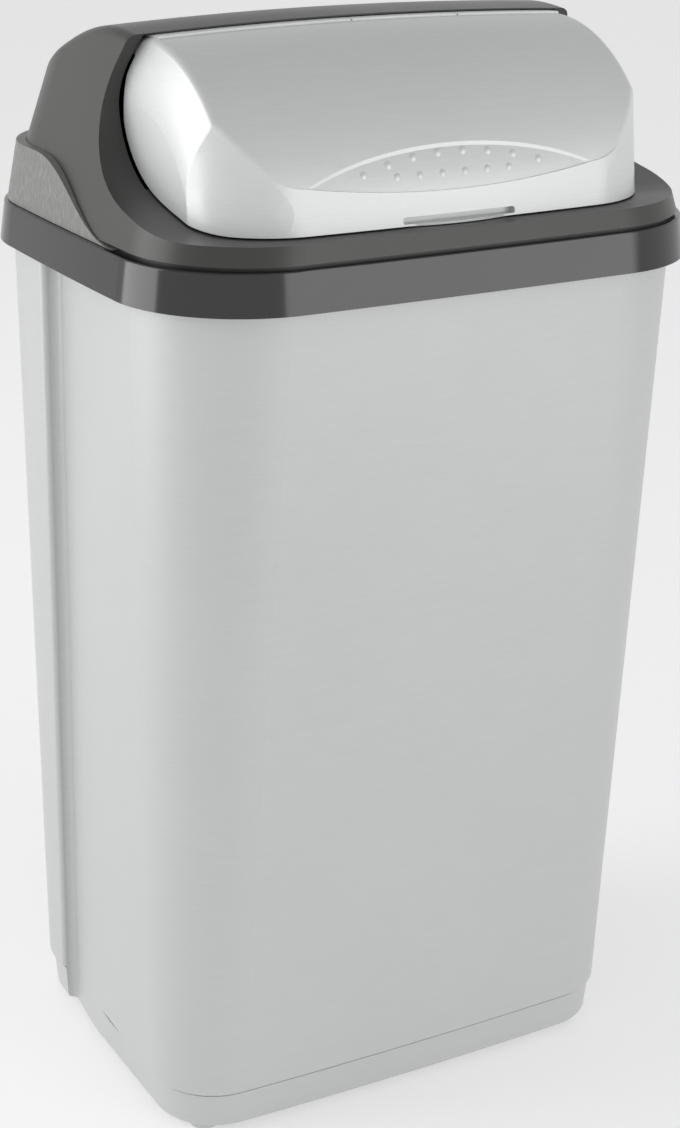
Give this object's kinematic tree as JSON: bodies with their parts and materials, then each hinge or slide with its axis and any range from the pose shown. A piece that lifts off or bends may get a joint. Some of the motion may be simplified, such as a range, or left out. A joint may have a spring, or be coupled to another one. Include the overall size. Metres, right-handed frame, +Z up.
{
  "type": "flip-lid trash can",
  "caption": "Tall tapered waste bin with a rim band, a lift-off hood and a rounded flap that rolls back under the hood's roof.",
  "frame": {"origin": "on the floor under the middle of the bin", "axes": "+Z up, +Y towards the back, +X to the right of a person who faces the bin; the mouth faces -Y"},
  "size_m": [0.375, 0.3188, 0.6896],
  "materials": {
    "container_silver": "satin metallic silver",
    "band_grey": "satin dark grey",
    "hood_charcoal": "satin charcoal",
    "collar_grey": "fine vertical grain, mid grey",
    "flap_silver": "satin metallic silver",
    "pin_plastic": "natural acetal"
  },
  "bodies": {
    "container": {"container": "container_silver"},
    "rim_band": {"rim_band": "band_grey"},
    "hood": {"hood": "hood_charcoal", "rear_collar": "collar_grey"},
    "flap": {"flap": "flap_silver", "pivot_pin_left": "pin_plastic", "pivot_pin_right": "pin_plastic"}
  },
  "joints": [
    {"name": "band_lift", "type": "slide", "parent": "container", "child": "rim_band", "axis": [0, 0, 1], "range_m": [0, 0.04]},
    {"name": "hood_lift", "type": "slide", "parent": "rim_band", "child": "hood", "axis": [0, 0, 1], "range_m": [0, 0.06]},
    {"name": "flap_turn", "type": "hinge", "parent": "hood", "child": "flap", "pos_m": [0, -0.03, 0.575], "axis": [-1, 0, 0], "range_deg": [0, 80]}
  ]
}
